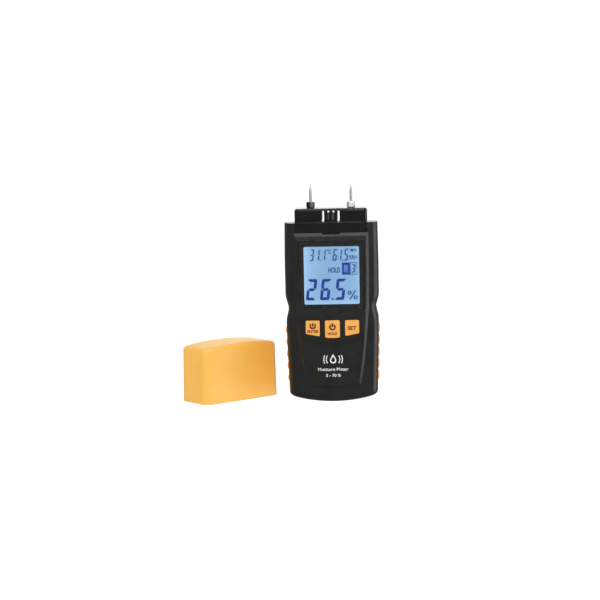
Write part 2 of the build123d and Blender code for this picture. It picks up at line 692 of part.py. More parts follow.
# Batteries and their contacts; the middle cell is the other way up
cell_spots = ((-CELL_PITCH, 1), (0.0, -1), (CELL_PITCH, 1))
cell_middle_z = BAY_BOTTOM_Z + CONTACT_THICK + 0.1 + 3.0 + CELL_LENGTH / 2
bay_centre_z = (BAY_BOTTOM_Z + BAY_TOP_Z) / 2
cell_lift = cell_middle_z - bay_centre_z
with BuildPart() as battery_cells:
    for cell_x, up in cell_spots:
        with Locations((cell_x, CELL_Y, bay_centre_z + up * (cell_lift - 0.5))):
            Cylinder(CELL_DIAMETER / 2, CELL_LENGTH - 1)
        with Locations((cell_x, CELL_Y, bay_centre_z + up * (cell_lift + CELL_LENGTH / 2 - 0.6))):
            Cylinder(1.9, 1.2)
save(battery_cells.part, "battery_cells")

with BuildPart() as battery_contacts:
    with Locations((-CELL_PITCH, CELL_Y, BAY_BOTTOM_Z + 0.05 + CONTACT_THICK / 2)):
        Box(9, 9, CONTACT_THICK)
    with Locations((CELL_PITCH / 2, CELL_Y, BAY_BOTTOM_Z + 0.05 + CONTACT_THICK / 2)):
        Box(20, 9, CONTACT_THICK)
    with Locations((-CELL_PITCH / 2, CELL_Y, BAY_TOP_Z - 0.05 - CONTACT_THICK / 2)):
        Box(20, 9, CONTACT_THICK)
    with Locations((CELL_PITCH, CELL_Y, BAY_TOP_Z - 0.05 - CONTACT_THICK / 2)):
        Box(9, 9, CONTACT_THICK)
save(battery_contacts.part, "battery_contacts")

with BuildPart() as battery_springs:
    for cell_x, up in cell_spots:
        low = BAY_BOTTOM_Z + 0.75 if up > 0 else BAY_TOP_Z - 0.75 - 2.3
        with BuildLine() as coil:
            Helix(0.95, 2.3, 2.8, center=(cell_x, CELL_Y, low))
        with BuildSketch(Plane(origin=coil.line @ 0, z_dir=coil.line % 0)):
            Circle(0.25)
        sweep()
save(battery_springs.part, "battery_springs")

# Battery door: swings on two tabs at its lower edge and snaps shut at the top
with BuildPart() as battery_door:
    with BuildSketch(Plane.XZ.offset(-(FRONT - DOOR_THICK))):
        with Locations((0, door_middle_z)):
            RectangleRounded(2 * DOOR_HALF, door_tall, 2)
    extrude(amount=-DOOR_THICK)
    # Thumb dish with three raised bars
    with BuildSketch(Plane.XZ.offset(-(FRONT - 0.8))):
        with Locations((0, 60.5)):
            RectangleRounded(16, 8, 3.5)
    extrude(amount=-2, mode=Mode.SUBTRACT)
    with BuildSketch(Plane.XZ.offset(-(FRONT - 0.9))):
        with Locations((0, 60.5)):
            with GridLocations(0, 2.2, 1, 3):
                SlotOverall(9, 0.9)
    extrude(amount=-0.8)
    # Tabs under the lower edge of the opening
    with Locations(*[(x, 14.4, 13.65) for x in (-DOOR_TAB_X, DOOR_TAB_X)]):
        Box(5, 2.2, 1.5)
    with Locations(*[(x, 14.0, 12.0) for x in (-DOOR_TAB_X, DOOR_TAB_X)]):
        Box(5, 1.4, 2.4)
    # Latch at the upper edge, and ribs that steady the cells
    with Locations((0, 14.6, 66.9)):
        Box(10, 1.6, 2.2)
    with Locations(*[(x, 14.3, 38) for x in (-CELL_PITCH / 2, CELL_PITCH / 2)]):
        Box(1.2, 2.2, 34)
save(battery_door.part, "battery_door")

# Fasteners
with BuildPart() as case_screws:
    with BuildSketch(Plane.XZ.offset(-11)):
        with Locations(*case_screw_spots):
            Circle(1.9)
    extrude(amount=-1.7)
    fillet(case_screws.faces().sort_by(Axis.Y)[-4:].edges(), 0.5)
    with BuildSketch(Plane.XZ.offset(-11)):
        with Locations(*case_screw_spots):
            Circle(1.1)
    extrude(amount=11 + 7)
    with BuildSketch(Plane.XZ.offset(-11.8)):
        with Locations(*case_screw_spots):
            Rectangle(2.4, 0.6)
            Rectangle(0.6, 2.4)
    extrude(amount=-2, mode=Mode.SUBTRACT)
save(case_screws.part, "case_screws")

with BuildPart() as board_screws:
    with BuildSketch(Plane.XZ.offset(-board_rear_y)):
        with Locations(*board_posts):
            Circle(1.8)
    extrude(amount=-1.2)
    with BuildSketch(Plane.XZ.offset(-board_rear_y)):
        with Locations(*board_posts):
            Circle(0.85)
    extrude(amount=5.5)
    with BuildSketch(Plane.XZ.offset(-board_rear_y - 0.6)):
        with Locations(*board_posts):
            Rectangle(2.0, 0.5)
            Rectangle(0.5, 2.0)
    extrude(amount=-2, mode=Mode.SUBTRACT)
save(board_screws.part, "board_screws")

with BuildPart() as rear_label:
    with BuildSketch(Plane.XZ.offset(-FRONT + 0.38)):
        with Locations((0, 94)):
            RectangleRounded(43.4, 29.4, 1.8)
    extrude(amount=-0.28)
save(rear_label.part, "rear_label")


def cap_solid(inset, floor, edge_round):
    """Domed cap with slightly drafted sides, the given distance inside its outer surface."""
    half_wide = CAP_HALF_WIDE - inset
    half_deep = CAP_HALF_DEEP - inset
    with BuildPart() as solid:
        with BuildSketch(Plane.XY.offset(floor)):
            RectangleRounded(2 * half_wide, 2 * half_deep, CAP_CORNER - inset)
        extrude(amount=50, taper=CAP_DRAFT)
        with BuildSketch(Plane.XZ):
            with BuildLine():
                Line((-CAP_HALF_WIDE, floor), (CAP_HALF_WIDE, floor))
                Line((CAP_HALF_WIDE, floor), (CAP_HALF_WIDE, CAP_CROWN_END_Z - inset))
                ThreePointArc(
                    (CAP_HALF_WIDE, CAP_CROWN_END_Z - inset),
                    (0, CAP_CROWN_Z - inset),
                    (-CAP_HALF_WIDE, CAP_CROWN_END_Z - inset),
                )
                Line((-CAP_HALF_WIDE, CAP_CROWN_END_Z - inset), (-CAP_HALF_WIDE, floor))
            make_face()
        extrude(amount=CAP_HALF_DEEP + 1, both=True, mode=Mode.INTERSECT)
        fillet(solid.faces().sort_by(Axis.Z)[-1].edges(), edge_round)
    return solid.part


with BuildPart() as cap_upright:
    add(cap_solid(0, 0, 2.6))
    add(cap_solid(CAP_WALL, -1, 1.5), mode=Mode.SUBTRACT)
    # Ribs inside that close on the probe head
    for rib_x in (-16, 16):
        for side in (-1, 1):
            with Locations((rib_x, side * 13.5, 7.5)):
                Box(1.4, 4.0, 12)
    for rib_y in (-5.5, 5.5):
        for side in (-1, 1):
            with Locations((side * 30.2, rib_y, 7.5)):
                Box(5.8, 1.4, 12)
with BuildPart() as pin_cap:
    with Locations(Location((CAP_X, CAP_Y, 0), (0, 0, CAP_TURN))):
        add(cap_upright.part)
save(pin_cap.part, "pin_cap")
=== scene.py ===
import math

import bmesh
import bpy
from mathutils import Matrix, Vector


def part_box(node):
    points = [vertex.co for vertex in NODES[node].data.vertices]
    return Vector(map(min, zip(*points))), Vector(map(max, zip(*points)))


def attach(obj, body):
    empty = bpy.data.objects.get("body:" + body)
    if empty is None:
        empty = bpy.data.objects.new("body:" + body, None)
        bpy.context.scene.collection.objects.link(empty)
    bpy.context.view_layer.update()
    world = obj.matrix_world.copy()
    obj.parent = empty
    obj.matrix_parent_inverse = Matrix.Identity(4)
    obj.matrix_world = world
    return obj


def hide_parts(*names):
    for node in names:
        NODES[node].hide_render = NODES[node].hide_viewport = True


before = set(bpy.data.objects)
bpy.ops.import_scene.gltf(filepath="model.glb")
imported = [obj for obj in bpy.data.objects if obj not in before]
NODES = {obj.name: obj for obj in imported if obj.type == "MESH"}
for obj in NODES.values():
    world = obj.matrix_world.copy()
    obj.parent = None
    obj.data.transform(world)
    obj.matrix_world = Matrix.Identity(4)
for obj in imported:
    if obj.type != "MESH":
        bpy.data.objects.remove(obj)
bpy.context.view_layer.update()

MM = 0.001
scene = bpy.context.scene
scene.view_settings.view_transform = "Standard"
scene.view_settings.look = "None"


# ---------------------------------------------------------------- materials

class Shader:
    """A Principled material built up from a few named layers."""

    def __init__(self, name, **sockets):
        self.material = bpy.data.materials.new(name)
        self.material.use_nodes = True
        self.tree = self.material.node_tree
        self.tree.nodes.clear()
        self.output = self.node("ShaderNodeOutputMaterial")
        self.bsdf = self.node("ShaderNodeBsdfPrincipled")
        self.link(self.bsdf.outputs[0], self.output.inputs[0])
        self.coord = self.node("ShaderNodeTexCoord").outputs["Object"]
        self.normal = None
        for socket, value in sockets.items():
            self.bsdf.inputs[socket.replace("_", " ")].default_value = value

    def node(self, kind, **settings):
        made = self.tree.nodes.new(kind)
        for key, value in settings.items():
            setattr(made, key, value)
        return made

    def link(self, start, end):
        self.tree.links.new(start, end)

    def noise(self, scale, detail=3.0, rough=0.55, stretch=(1, 1, 1)):
        """Noise in the object's own metres, so that scale is in features per metre."""
        mapping = self.node("ShaderNodeMapping")
        mapping.inputs["Scale"].default_value = stretch
        self.link(self.coord, mapping.inputs["Vector"])
        noise = self.node("ShaderNodeTexNoise")
        noise.inputs["Scale"].default_value = scale
        noise.inputs["Detail"].default_value = detail
        noise.inputs["Roughness"].default_value = rough
        self.link(mapping.outputs[0], noise.inputs["Vector"])
        return noise.outputs["Fac"]

    def remap(self, value, low, high, to_low, to_high):
        """Value stretched from the range low to high onto to_low to to_high, and held at its ends."""
        made = self.node("ShaderNodeMapRange")
        for key, number in zip(("From Min", "From Max", "To Min", "To Max"), (low, high, to_low, to_high)):
            made.inputs[key].default_value = number
        self.link(value, made.inputs["Value"])
        return made.outputs[0]

    def mix(self, fac, a, b):
        """Colour between a and b, each a colour or a socket."""
        made = self.node("ShaderNodeMix", data_type="RGBA")
        for socket, value in ((made.inputs[6], a), (made.inputs[7], b)):
            if isinstance(value, tuple):
                socket.default_value = (*value, 1.0)
            else:
                self.link(value, socket)
        self.link(fac, made.inputs[0])
        return made.outputs[2]

    def colour(self, socket):
        self.link(socket, self.bsdf.inputs["Base Color"])

    def glow(self, socket, strength):
        """Light of its own, in the colour of the socket."""
        self.link(socket, self.bsdf.inputs["Emission Color"])
        self.bsdf.inputs["Emission Strength"].default_value = strength

    def vary(self, base, other, scale, low=0.35, high=0.65, detail=3.0, stretch=(1, 1, 1)):
        """Base colour drifting softly between two shades; returns it."""
        fac = self.remap(self.noise(scale, detail, stretch=stretch), low, high, 0.0, 1.0)
        mixed = self.mix(fac, base, other)
        self.colour(mixed)
        return mixed

    def rough(self, low, high, scale, stretch=(1, 1, 1)):
        uneven = self.remap(self.noise(scale, stretch=stretch), 0.3, 0.7, low, high)
        self.link(uneven, self.bsdf.inputs["Roughness"])

    def bump(self, height, strength, distance):
        made = self.node("ShaderNodeBump")
        made.inputs["Strength"].default_value = strength
        made.inputs["Distance"].default_value = distance
        self.link(height, made.inputs["Height"])
        if self.normal is not None:
            self.link(self.normal, made.inputs["Normal"])
        self.normal = made.outputs[0]
        self.link(self.normal, self.bsdf.inputs["Normal"])

    def soften(self, radius):
        """Rounds the look of hard edges by the given radius in metres."""
        made = self.node("ShaderNodeBevel", samples=6)
        made.inputs["Radius"].default_value = radius
        self.normal = made.outputs[0]
        self.link(self.normal, self.bsdf.inputs["Normal"])

    def axis(self, which):
        """The object's own x, y or z (0, 1 or 2) in metres."""
        made = self.node("ShaderNodeSeparateXYZ")
        self.link(self.coord, made.inputs[0])
        return made.outputs[which]

    def math(self, operation, a, b=None):
        made = self.node("ShaderNodeMath", operation=operation)
        for socket, value in zip(made.inputs, (a, b)):
            if isinstance(value, (int, float)):
                socket.default_value = value
            elif value is not None:
                self.link(value, socket)
        return made.outputs[0]


SSS_RADIUS = (0.004, 0.0015, 0.0004)      # how far red, green and blue light spreads in orange plastic


def plastic(name, base, other, rough, grain_scale, grain, specular=0.5, edge=0.00035, subsurface=0.0):
    """Moulded plastic: a fine spark-eroded grain, slow colour drift and uneven polish."""
    made = Shader(name, Specular_IOR_Level=specular)
    if subsurface:
        made.bsdf.inputs["Subsurface Weight"].default_value = subsurface
        made.bsdf.inputs["Subsurface Radius"].default_value = SSS_RADIUS
        made.bsdf.inputs["Subsurface Scale"].default_value = 0.4
    made.vary(base, other, 55.0)
    made.rough(rough[0], rough[1], 140.0)
    made.soften(edge)
    made.bump(made.noise(grain_scale, 2.0), grain, 0.00004)
    return made


def metal(name, base, other, rough, line_scale, stretch):
    """Machined or plated metal with fine tool marks across the given direction."""
    made = Shader(name, Metallic=1.0)
    made.vary(base, other, line_scale / 6, stretch=stretch)
    made.rough(rough[0], rough[1], line_scale, stretch)
    made.soften(0.0002)
    made.bump(made.noise(line_scale, 2.0, stretch=stretch), 0.25, 0.00002)
    return made


# Each plastic: two shades of its colour, range of roughness, grain per metre, strength of the grain
case_look = plastic(
    "case_black", (0.0054, 0.0064, 0.0054), (0.0084, 0.0096, 0.0082), (0.22, 0.32), 3200.0, 0.35,
    specular=0.42, edge=0.0004)
head_look = plastic(
    "head_gloss_black", (0.0035, 0.0037, 0.0035), (0.0055, 0.0057, 0.0055), (0.14, 0.22), 900.0, 0.06,
    specular=0.34, edge=0.0003)
cap_look = plastic(
    "cap_orange", (0.79, 0.420, 0.070), (0.82, 0.442, 0.080), (0.34, 0.44), 1500.0, 0.25,
    specular=0.5, edge=0.0003, subsurface=0.12)
key_look = plastic(
    "key_orange", (0.71, 0.322, 0.056), (0.74, 0.345, 0.064), (0.34, 0.42), 2200.0, 0.2,
    specular=0.4, edge=0.0002, subsurface=0.1)
grip_look = plastic(
    "grip_rubber", (0.86, 0.34, 0.085), (0.90, 0.37, 0.100), (0.62, 0.74), 2600.0, 0.6,
    specular=0.3, edge=0.0002, subsurface=0.08)
white_look = plastic(
    "white_nylon", (0.74, 0.74, 0.71), (0.80, 0.80, 0.78), (0.45, 0.55), 1200.0, 0.2)
component_look = plastic(
    "moulded_epoxy", (0.016, 0.016, 0.018), (0.024, 0.024, 0.027), (0.5, 0.62), 4000.0, 0.5)
rubber_look = plastic(
    "soft_rubber", (0.02, 0.02, 0.02), (0.03, 0.03, 0.03), (0.7, 0.8), 2000.0, 0.4, specular=0.3)
board_look = plastic(
    "solder_resist", (0.012, 0.11, 0.045), (0.018, 0.15, 0.06), (0.22, 0.34), 700.0, 0.2, edge=0.0001)
lead_look = plastic(
    "wire_jacket", (0.42, 0.02, 0.02), (0.5, 0.03, 0.025), (0.35, 0.45), 900.0, 0.2, edge=0.0001)

# Each metal: two shades, range of roughness, tool marks per metre, and how they are stretched
steel_look = metal("pin_steel", (0.52, 0.53, 0.51), (0.60, 0.61, 0.59), (0.48, 0.60), 900.0, (1, 1, 6))
nickel_look = metal("nickel_plate", (0.66, 0.65, 0.63), (0.74, 0.73, 0.71), (0.14, 0.24), 700.0, (1, 1, 3))
brass_look = metal("turned_brass", (0.70, 0.48, 0.17), (0.78, 0.56, 0.22), (0.2, 0.32), 900.0, (1, 1, 8))
screw_look = metal("screw_steel", (0.30, 0.30, 0.31), (0.38, 0.38, 0.39), (0.25, 0.38), 1500.0, (1, 1, 1))


def nut_plating_painted_reflection():
    """Bright plating on the right nut; the left nut has a painted dark reflection, darkest on its outer
    side.
    """
    made = Shader("nut_plating_painted_reflection", Metallic=1.0)
    bright = made.mix(made.noise(700.0), (0.84, 0.84, 0.80), (0.92, 0.92, 0.88))
    # Painted reflection: the left nut's colour runs from near black on its outer side to grey, standing in
    # for a dark reflection in its faces
    left_nut_reflection_ramp = made.remap(made.axis(0), -0.0162, -0.0134, 0.0, 1.0)
    painted_dark_reflection = made.mix(left_nut_reflection_ramp, (0.018, 0.018, 0.018), (0.24, 0.25, 0.22))
    made.colour(made.mix(made.remap(made.axis(0), -0.001, 0.001, 0.0, 1.0), painted_dark_reflection, bright))
    made.rough(0.48, 0.60, 700.0)
    made.soften(0.0002)
    made.bump(made.noise(900.0, stretch=(1, 1, 4)), 0.25, 0.00002)
    return made


nut_look = nut_plating_painted_reflection()
window_look = Shader("window_clear", Transmission_Weight=1.0, IOR=1.14, Specular_IOR_Level=0.3)
window_look.vary((0.96, 0.97, 0.98), (0.98, 0.985, 0.99), 40.0)
window_look.rough(0.0, 0.02, 90.0)
window_look.bump(window_look.noise(60.0, 1.0), 0.05, 0.00001)


def lit_panel():
    """The backlit ground of the display: lighter towards its edges, with a faint cell grain."""
    made = Shader("lcd_lit_ground", Roughness=0.35)
    low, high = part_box("lcd_glass")
    across = made.math("ABSOLUTE", made.axis(0))
    up = made.axis(2)
    side = made.remap(across, 0.012, 0.0208, 0.0, 0.85)
    foot = made.remap(up, low.z + 0.009, low.z + 0.003, 0.0, 0.7)
    top = made.remap(up, high.z - 0.007, high.z - 0.003, 0.0, 0.10)
    left = made.remap(made.axis(0), -0.009, -0.0205, 0.0, 0.30)
    upright = made.math("MAXIMUM", foot, top)
    sideways = made.math("ADD", made.math("POWER", side, 3.0), left)
    light = made.math("MAXIMUM", upright, sideways)
    uneven = made.math("MULTIPLY", made.noise(90.0, 2.0), 0.35)
    light = made.math("SUBTRACT", made.math("ADD", light, uneven), 0.12)
    tint = made.mix(light, (0.180, 0.365, 0.600), (0.39, 0.63, 0.88))
    made.colour(made.mix(light, (0.03, 0.05, 0.07), (0.05, 0.07, 0.10)))
    made.glow(tint, 0.97)
    made.bump(made.noise(3000.0, 1.0), 0.05, 0.00001)
    return made


def print_look(name, base, other, rough=(0.45, 0.6), glow=0.0):
    """Printed ink or film, very slightly mottled; glow is for what a backlight shines through."""
    made = Shader(name, Specular_IOR_Level=0.2)
    tint = made.vary(base, other, 700.0)
    made.rough(rough[0], rough[1], 900.0)
    made.bump(made.noise(2500.0), 0.2, 0.00001)
    if glow:
        made.glow(tint, glow)
    return made


lcd_look = lit_panel()
digit_look = print_look("lcd_digit_ink", (0.004, 0.017, 0.135), (0.006, 0.025, 0.19), glow=0.75)
small_digit_look = print_look("lcd_small_ink", (0.008, 0.038, 0.13), (0.012, 0.052, 0.17), glow=0.7)
mode_look = print_look("lcd_mode_fill", (0.032, 0.072, 0.27), (0.042, 0.088, 0.31), glow=0.7)
mode_letter_look = print_look("lcd_mode_letter", (0.12, 0.20, 0.50), (0.15, 0.23, 0.54), glow=0.7)
mask_look = print_look("window_border_ink", (0.006, 0.006, 0.007), (0.010, 0.010, 0.011), rough=(0.2, 0.3))
legend_look = print_look("key_legend_ink", (0.045, 0.005, 0.003), (0.065, 0.008, 0.004))
white_ink_look = print_look("white_ink", (0.70, 0.71, 0.71), (0.80, 0.81, 0.81))
grey_ink_look = print_look("grey_ink", (0.28, 0.28, 0.28), (0.34, 0.34, 0.34))
label_look = print_look("label_film", (0.36, 0.37, 0.38), (0.42, 0.43, 0.44), rough=(0.3, 0.42))
cell_look = print_look("cell_sleeve", (0.02, 0.028, 0.055), (0.03, 0.04, 0.075), rough=(0.2, 0.3))
cell_band_look = metal("cell_band", (0.62, 0.40, 0.14), (0.70, 0.47, 0.19), (0.25, 0.35), 900.0, (1, 1, 6))

CAD_LOOKS = {
    "front_case": case_look,
    "rear_case": case_look,
    "battery_door": case_look,
    "probe_head": head_look,
    "grip_left": grip_look,
    "grip_right": grip_look,
    "pin_cap": cap_look,
    "button_enter": key_look,
    "button_power": key_look,
    "button_set": key_look,
    "pin_left": steel_look,
    "pin_right": steel_look,
    "pin_nuts": nut_look,
    "pin_sockets": brass_look,
    "pin_leads": lead_look,
    "battery_leads": lead_look,
    "sensor_board": board_look,
    "main_board": board_look,
    "humidity_sensor": white_look,
    "thermistor": component_look,
    "display_lens": window_look,
    "lcd_glass": lcd_look,
    "lcd_frame": white_look,
    "backlight_panel": white_look,
    "zebra_connector": rubber_look,
    "controller_chip": component_look,
    "chip_legs": nickel_look,
    "amplifier_chips": component_look,
    "small_parts": component_look,
    "crystal_can": nickel_look,
    "buzzer": component_look,
    "push_switches": component_look,
    "battery_cells": cell_look,
    "battery_contacts": nickel_look,
    "battery_springs": nickel_look,
    "case_screws": screw_look,
    "board_screws": screw_look,
    "rear_label": label_look,
}
for node_name, look in CAD_LOOKS.items():
    mesh = NODES[node_name].data
    mesh.materials.clear()
    mesh.materials.append(look.material)


# ---------------------------------------------------------------- flat printed and cut pieces

def finish_piece(obj, look, body):
    """Gives a new piece its material and the body it moves with."""
    obj.data.materials.clear()
    obj.data.materials.append(look.material)
    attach(obj, body)
    return obj


def to_mesh(name, curve, matrix):
    """Turns a curve or text into a plain mesh object placed by the matrix."""
    holder = bpy.data.objects.new(name + "_curve", curve)
    scene.collection.objects.link(holder)
    bpy.context.view_layer.update()
    mesh = bpy.data.meshes.new_from_object(holder.evaluated_get(bpy.context.evaluated_depsgraph_get()))
    bpy.data.objects.remove(holder)
    bpy.data.curves.remove(curve)
    mesh.transform(matrix)
    mesh.name = name
    obj = bpy.data.objects.new(name, mesh)
    scene.collection.objects.link(obj)
    return obj


def facing(front, y, x=0.0, z=0.0):
    """Matrix that stands a flat drawing up at depth y (mm), facing the front or the rear."""
    turn = Matrix.Rotation(math.radians(90), 4, "X")
    if not front:
        turn = Matrix.Rotation(math.radians(180), 4, "Z") @ turn
    return Matrix.Translation(Vector((x, y, z)) * MM) @ turn


def weld(mesh):
    """Joins the front, edge and back of a flat piece into closed solids."""
    solid = bmesh.new()
    solid.from_mesh(mesh)
    bmesh.ops.remove_doubles(solid, verts=solid.verts, dist=1e-7)
    bmesh.ops.dissolve_degenerate(solid, edges=solid.edges, dist=1e-7)
    bmesh.ops.recalc_face_normals(solid, faces=solid.faces[:])
    solid.to_mesh(mesh)
    solid.free()


def plate(name, loops, y, thick, look, body="meter", front=True):
    """Thin flat piece from closed outlines in mm; an outline inside another is a hole."""
    curve = bpy.data.curves.new(name, "CURVE")
    curve.dimensions = "2D"
    curve.fill_mode = "BOTH"
    curve.extrude = thick * MM / 2
    for loop in loops:
        spline = curve.splines.new("POLY")
        spline.points.add(len(loop) - 1)
        for point, (u, v) in zip(spline.points, loop):
            point.co = (u * MM, v * MM, 0.0, 1.0)
        spline.use_cyclic_u = True
    obj = to_mesh(name, curve, facing(front, y))
    weld(obj.data)
    return finish_piece(obj, look, body)


def words(name, text, x, y, z, height, width, look, body="meter",
          thick=0.04, bold=0.0, front=True):
    """Printed words centred on a spot, with the given letter height and overall width in mm."""
    curve = bpy.data.curves.new(name, "FONT")
    curve.body = text
    curve.size = 1.0
    curve.align_x = "CENTER"
    curve.align_y = "CENTER"
    curve.offset = bold
    curve.resolution_u = 3
    obj = to_mesh(name, curve, Matrix.Identity(4))
    co = [v.co.copy() for v in obj.data.vertices]
    low = Vector((min(c.x for c in co), min(c.y for c in co), 0))
    high = Vector((max(c.x for c in co), max(c.y for c in co), 0))
    centre = (low + high) / 2
    size = high - low
    scale = Matrix.Diagonal((width * MM / size.x, height * MM / size.y, 1.0, 1.0))
    obj.data.transform(scale @ Matrix.Translation(-centre))
    solid = bmesh.new()
    solid.from_mesh(obj.data)
    bmesh.ops.remove_doubles(solid, verts=solid.verts, dist=1e-6)
    bmesh.ops.dissolve_degenerate(solid, edges=solid.edges, dist=4e-6)
    made = bmesh.ops.extrude_face_region(solid, geom=solid.faces[:])
    verts = [v for v in made["geom"] if isinstance(v, bmesh.types.BMVert)]
    bmesh.ops.translate(solid, verts=verts, vec=(0, 0, thick * MM))
    bmesh.ops.recalc_face_normals(solid, faces=solid.faces[:])
    solid.to_mesh(obj.data)
    solid.free()
    obj.data.transform(facing(front, y, x, z))
    return finish_piece(obj, look, body)


def rounded(x0, x1, z0, z1, radius, steps=6):
    """Outline of a rectangle with round corners."""
    loop = []
    for cx, cz, start in ((x1 - radius, z1 - radius, 0), (x0 + radius, z1 - radius, 90),
                          (x0 + radius, z0 + radius, 180), (x1 - radius, z0 + radius, 270)):
        for step in range(steps + 1):
            angle = math.radians(start + 90 * step / steps)
            loop.append((cx + radius * math.cos(angle), cz + radius * math.sin(angle)))
    return loop


def ring(cx, cz, outer, inner, start=0.0, end=360.0, steps=28):
    """Outline, or pair of outlines, of a ring or an arc of one."""
    angles = [math.radians(start + (end - start) * i / steps) for i in range(steps + 1)]
    if end - start >= 360:
        angles = angles[:-1]
        return [[(cx + r * math.cos(a), cz + r * math.sin(a)) for a in angles] for r in (outer, inner)]
    out = [(cx + outer * math.cos(a), cz + outer * math.sin(a)) for a in angles]
    back = [(cx + inner * math.cos(a), cz + inner * math.sin(a)) for a in reversed(angles)]
    return [out + back]


# ---------------------------------------------------------------- display

SEGMENTS = {"1": "bc", "2": "abged", "3": "abgcd", "5": "afgcd", "6": "afgedc"}
SLANT = math.tan(math.radians(7.0))


def digit(which, x, z, wide, tall, stroke, gap):
    """Outlines of one seven-segment digit with its lower left corner at x, z."""
    t, w, h, g = stroke, wide, tall, gap
    nick = 0.32 * t
    tip = 0.3 * t + g
    inner = t + g
    over = h / 2 + t / 2
    under = h / 2 - t / 2
    shapes = {
        "a": [(g + nick, h), (w - g - nick, h), (w - g, h - nick), (w - inner, h - t), (inner, h - t),
              (g, h - nick)],
        "d": [(g + nick, 0), (w - g - nick, 0), (w - g, nick), (w - inner, t), (inner, t), (g, nick)],
        "b": [(w, h - t / 2 - g), (w, h / 2 + g), (w - t, over + g), (w - t, h - inner),
              (w - nick, h - nick - g)],
        "c": [(w, t / 2 + g), (w, h / 2 - g), (w - t, under - g), (w - t, inner), (w - nick, nick + g)],
        "e": [(0, t / 2 + g), (0, h / 2 - g), (t, under - g), (t, inner), (nick, nick + g)],
        "f": [(0, h - t / 2 - g), (0, h / 2 + g), (t, over + g), (t, h - inner), (nick, h - nick - g)],
        "g": [(tip, h / 2), (inner, over), (w - inner, over), (w - tip, h / 2), (w - inner, under),
              (inner, under)],
    }
    return [[(x + u + SLANT * v, z + v) for u, v in shapes[name]] for name in SEGMENTS[which]]


def dot(x, z, size):
    """Outline of a decimal point, slanted as the digits are."""
    return [(x, z), (x + size, z), (x + size + SLANT * size, z + size), (x + SLANT * size, z + size)]


INK_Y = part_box("lcd_glass")[0].y / MM - 0.06

# Heights in mm of the feet of the big reading, the air readings above it and the mode boxes between them
READING_Z = 75.9
CLIMATE_Z = 104.9
MODE_Z = 94.5
MODE_TOP_Z = 103.5

big = []
for which, x in (("2", -19.4), ("6", -9.0), ("5", 1.9)):
    big += digit(which, x, READING_Z, 7.0, 15.7, 2.15, 0.10)
big.append(dot(-0.4, READING_Z, 1.5))
plate("reading_digits", big, INK_Y, 0.06, digit_look)

small = []
for which, x, wide in (("3", -16.2, 2.9), ("1", -12.0, 2.9), ("1", -7.6, 2.9),
                       ("6", 0.7, 3.1), ("1", 4.3, 2.9), ("5", 9.1, 2.9)):
    small += digit(which, x, CLIMATE_Z, wide, 8.7, 1.05, 0.08)
small += [dot(-8.6, CLIMATE_Z, 0.85), dot(7.6, CLIMATE_Z, 0.85)]
# Degree ring, then the battery sign: its case, the gap in it and its tip
small += ring(-2.6, 112.9, 0.75, 0.38)
small += [rounded(14.2, 18.0, 111.6, 113.5, 0.2, 2), rounded(16.2, 17.5, 112.1, 113.0, 0.1, 2),
          rounded(18.1, 18.7, 112.1, 113.0, 0.1, 2)]
plate("climate_digits", small, INK_Y, 0.06, small_digit_look)

mode = [rounded(7.7, 13.5, MODE_Z, MODE_TOP_Z, 0.2, 2), rounded(8.9, 12.4, 96.0, 102.0, 0.3, 2)]
mode += [rounded(13.6, 18.9, MODE_Z, MODE_TOP_Z, 0.2, 2), rounded(14.1, 18.5, 95.0, 103.0, 0.2, 2)]
mode += digit("3", 14.5, 96.0, 2.7, 6.0, 0.9, 0.06)
plate("mode_boxes", mode, INK_Y, 0.06, digit_look)
plate("mode_fill", [rounded(8.85, 12.45, 95.95, 102.05, 0.3, 2)], INK_Y, 0.05, mode_look)
words("mode_letter", "W", 10.65, INK_Y - 0.04, 99.0, 4.4, 2.5, mode_letter_look)
words("hold_word", "HOLD", 2.0, INK_Y, 98.0, 4.0, 8.6, digit_look, thick=0.05, bold=0.03)
words("degree_letter", "C", -1.0, INK_Y, 111.5, 3.2, 1.9, digit_look, thick=0.05, bold=0.03)
words("humidity_unit", "%RH", 16.0, INK_Y, 107.3, 3.1, 6.0, digit_look, thick=0.05, bold=0.02)

percent = ring(13.0, 81.1, 1.5, 0.7) + ring(17.4, 77.6, 1.5, 0.7)
percent.append([(12.7, 76.0), (13.7, 76.0), (17.9, 83.0), (16.9, 83.0)])
plate("reading_percent", percent, INK_Y, 0.06, digit_look)

# Black printed border on the back of the window, open over the display
border_outer = [(-23.45, 70.75), (23.45, 70.75), (24.45, 119.85), (-24.45, 119.85)]
border_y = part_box("display_lens")[1].y / MM - 0.08
plate("window_border", [border_outer, rounded(-20.2, 20.4, 73.0, 115.6, 1.1)], border_y, 0.06, mask_look)


# ---------------------------------------------------------------- key legends and front print

def ink_y(node):
    """Depth in mm at which print lies on the front of a node."""
    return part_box(node)[0].y / MM - 0.01


def drop(cx, cz, wide, tall, steps):
    """Outline of a water drop with its point up."""
    loop = []
    for step in range(steps + 1):
        angle = math.radians(-215 + 250 * step / steps)
        loop.append((cx + wide / 2 * math.cos(angle), cz - tall * 0.18 + wide / 2 * math.sin(angle)))
    loop.append((cx, cz + tall * 0.55))
    return loop


power_y = ink_y("button_power")
power = ring(0.0, 56.2, 2.45, 1.30, 124, 416, 30)
power.append([(-0.55, 56.3), (0.55, 56.3), (0.55, 59.1), (-0.55, 59.1)])
plate("power_symbol", power, power_y, 0.04, legend_look, "power_key")
words("power_word", "HOLD", 0.0, power_y, 51.4, 2.1, 7.0, legend_look, "power_key", 0.03, 0.03)

